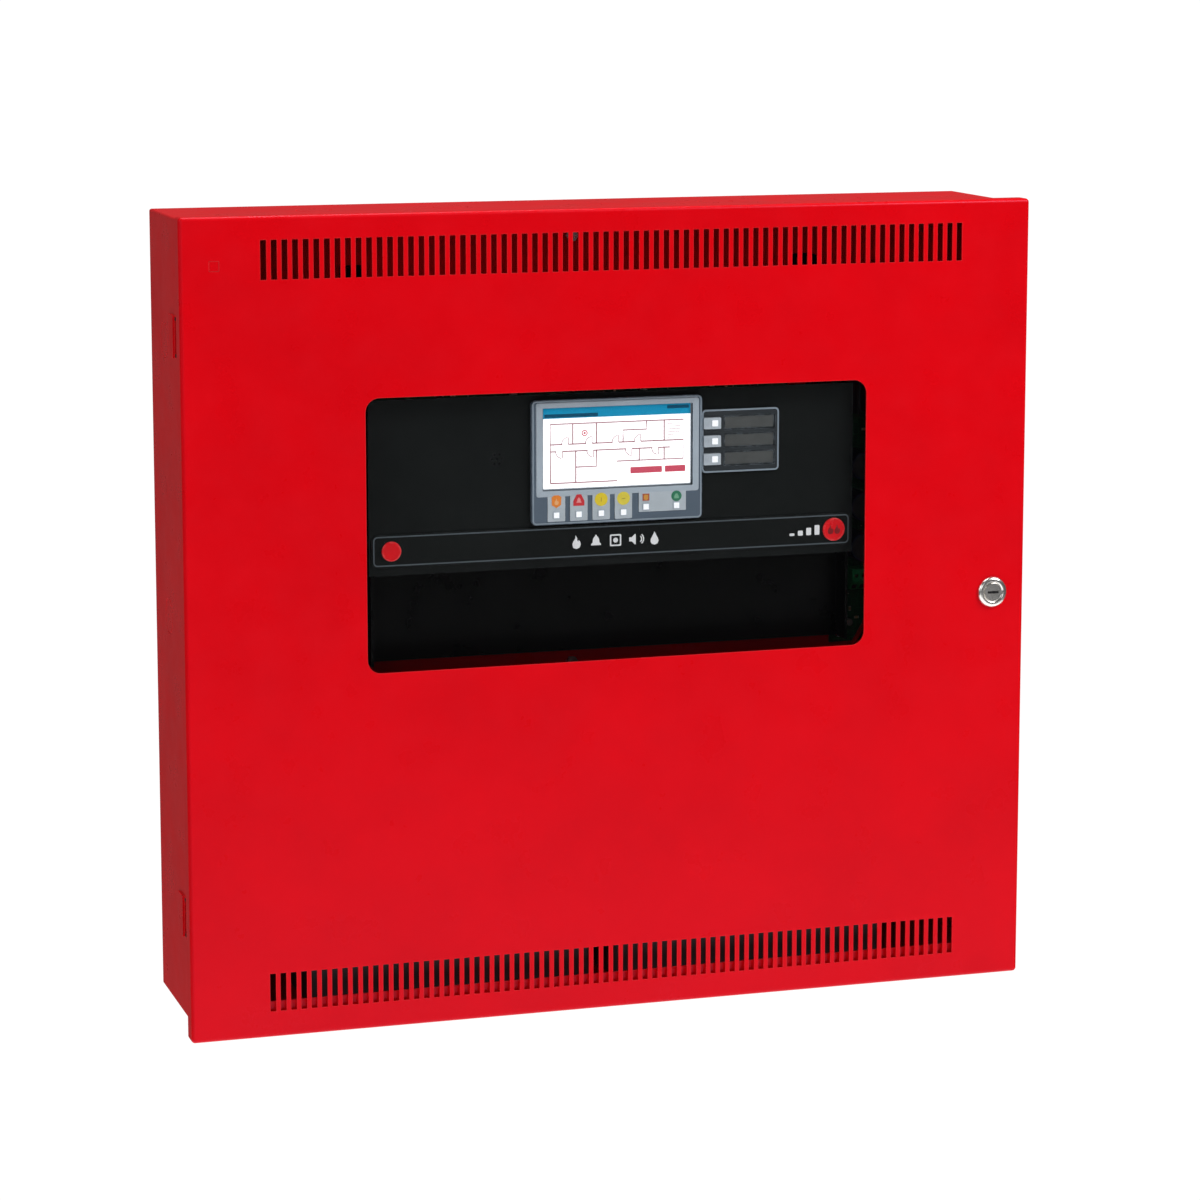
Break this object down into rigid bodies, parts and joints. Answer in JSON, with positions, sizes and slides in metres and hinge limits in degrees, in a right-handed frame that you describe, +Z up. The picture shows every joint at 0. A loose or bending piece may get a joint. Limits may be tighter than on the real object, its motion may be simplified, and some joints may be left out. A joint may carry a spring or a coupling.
{
  "type": "fire alarm control panel",
  "caption": "Wall-mounted red steel fire alarm cabinet with a hinged lockable door, vent slots, a glazed window, a touch display with function keys and standby batteries inside.",
  "frame": {"origin": "centre of the four wall bolts, on the cabinet's back face", "axes": "+X to the right across the door as seen from the front, +Y into the wall, +Z up; the door faces -Y"},
  "size_m": [0.535, 0.1045, 0.4942],
  "materials": {
    "red_powder_coat": "semi-gloss powder coat",
    "zinc_steel": "galvanised",
    "pin_steel": "bright zinc",
    "lock_chrome": "polished nickel-chrome",
    "panel_black": "fine satin",
    "blank_black": "gloss",
    "housing_slate": "satin moulded",
    "tile_grey": "satin",
    "lamp_white": "diffusing",
    "key_grey": "satin",
    "label_dark": "satin",
    "frame_slate": "satin",
    "badge_red": "gloss",
    "clear_pane": "clear polycarbonate",
    "screen_glass": "satin touch glass",
    "screen_face": "lit display",
    "foam_black": "closed-cell foam",
    "board_green": "solder mask",
    "component_black": "moulded",
    "terminal_green": "moulded",
    "heatsink_black": "anodised",
    "core_steel": "varnished laminations",
    "winding_tape": "insulating tape",
    "battery_case": "moulded ABS",
    "terminal_tin": "bright",
    "lead_red": "PVC sleeve",
    "lead_black": "PVC sleeve",
    "ribbon_grey": "PVC ribbon"
  },
  "bodies": {
    "cabinet": {"back_box": "red_powder_coat", "upper_hinge_bracket": "panel_black", "lower_hinge_bracket": "panel_black", "hinge_pins": "pin_steel", "hinge_backing_plates": "red_powder_coat", "chassis_plate": "red_powder_coat", "chassis_standoffs": "pin_steel", "board_standoffs": "pin_steel", "board_fixings": "pin_steel", "zone_board": "board_green", "main_board": "board_green", "power_board": "board_green", "field_terminals": "terminal_green", "board_components": "component_black", "power_capacitors": "component_black", "power_heatsink": "heatsink_black", "transformer_core": "core_steel", "transformer_winding": "winding_tape", "battery_left": "battery_case", "battery_right": "battery_case", "battery_terminals": "terminal_tin", "battery_strap": "zinc_steel", "battery_lead_positive": "lead_red", "battery_leads_black": "lead_black", "display_ribbon": "ribbon_grey", "earth_stud": "terminal_tin", "dress_panel": "panel_black", "lower_blank_panel": "blank_black", "panel_brackets": "blank_black", "panel_screws": "pin_steel", "strip_plate": "panel_black", "strip_badges": "badge_red", "display_housing": "housing_slate", "lcd_module": "screen_face", "touch_glass": "screen_glass", "display_board": "board_green", "status_tiles": "tile_grey", "status_lamps": "lamp_white", "key_frame": "frame_slate", "label_inserts": "label_dark", "key_switches": "component_black", "sounder": "component_black"},
    "door": {"door_panel": "red_powder_coat", "upper_hinge_leaf": "panel_black", "lower_hinge_leaf": "panel_black", "window_gasket": "foam_black", "window_pane": "clear_pane", "window_retainer": "zinc_steel", "retainer_studs": "pin_steel", "retainer_nuts": "pin_steel", "blanking_plug": "red_powder_coat", "lock_body": "lock_chrome", "lock_nut": "pin_steel"},
    "lock": {"lock_plug": "lock_chrome", "lock_cam": "zinc_steel", "cam_nut": "pin_steel"},
    "key_1": {"function_key_1": "key_grey"},
    "key_2": {"function_key_2": "key_grey"},
    "key_3": {"function_key_3": "key_grey"}
  },
  "joints": [
    {"name": "door_hinge", "type": "hinge", "parent": "cabinet", "child": "door", "pos_m": [-0.2598, -0.086, 0], "axis": [0, 0, -1], "range_deg": [0, 110]},
    {"name": "lock_turn", "type": "hinge", "parent": "door", "child": "lock", "pos_m": [0.2495, -0.102, -0.0035], "axis": [0, -1, 0], "range_deg": [0, 90]},
    {"name": "key_1_press", "type": "slide", "parent": "cabinet", "child": "key_1", "axis": [0, 1, 0], "range_m": [0, 0.0008], "stiffness_N_per_m": 400},
    {"name": "key_2_press", "type": "slide", "parent": "cabinet", "child": "key_2", "axis": [0, 1, 0], "range_m": [0, 0.0008], "stiffness_N_per_m": 400},
    {"name": "key_3_press", "type": "slide", "parent": "cabinet", "child": "key_3", "axis": [0, 1, 0], "range_m": [0, 0.0008], "stiffness_N_per_m": 400}
  ]
}
